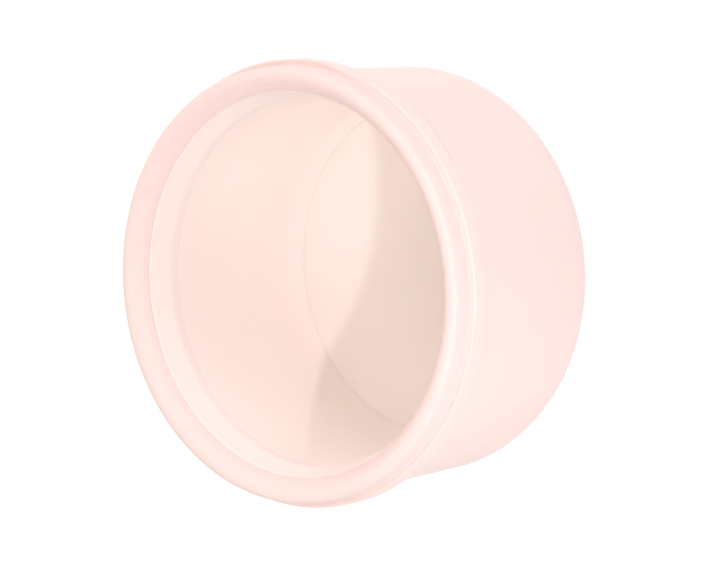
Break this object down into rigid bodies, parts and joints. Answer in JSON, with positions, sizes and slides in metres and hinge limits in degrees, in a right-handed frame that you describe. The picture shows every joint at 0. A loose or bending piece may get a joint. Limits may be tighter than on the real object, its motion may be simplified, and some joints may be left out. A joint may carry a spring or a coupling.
{
  "type": "pipe cap",
  "caption": "Round thick-walled plastic pipe cap: open socket with a raised mouth rim, a collar, an inner seal ring and a closed end with a rounded edge.",
  "frame": {"origin": "centre of the closed end's flat outer face", "axes": "+Z along the cap's axis from the closed end towards the open mouth, so the cap stands on its closed end; +X and +Y are alike because the cap is round"},
  "size_m": [0.1356, 0.1356, 0.0771],
  "materials": {
    "cap_plastic": "satin",
    "ring_plastic": "satin",
    "seal_rubber": "matte"
  },
  "bodies": {
    "root": {"cap_body": "cap_plastic", "seal_ring": "seal_rubber", "retaining_ring": "ring_plastic"}
  },
  "joints": []
}
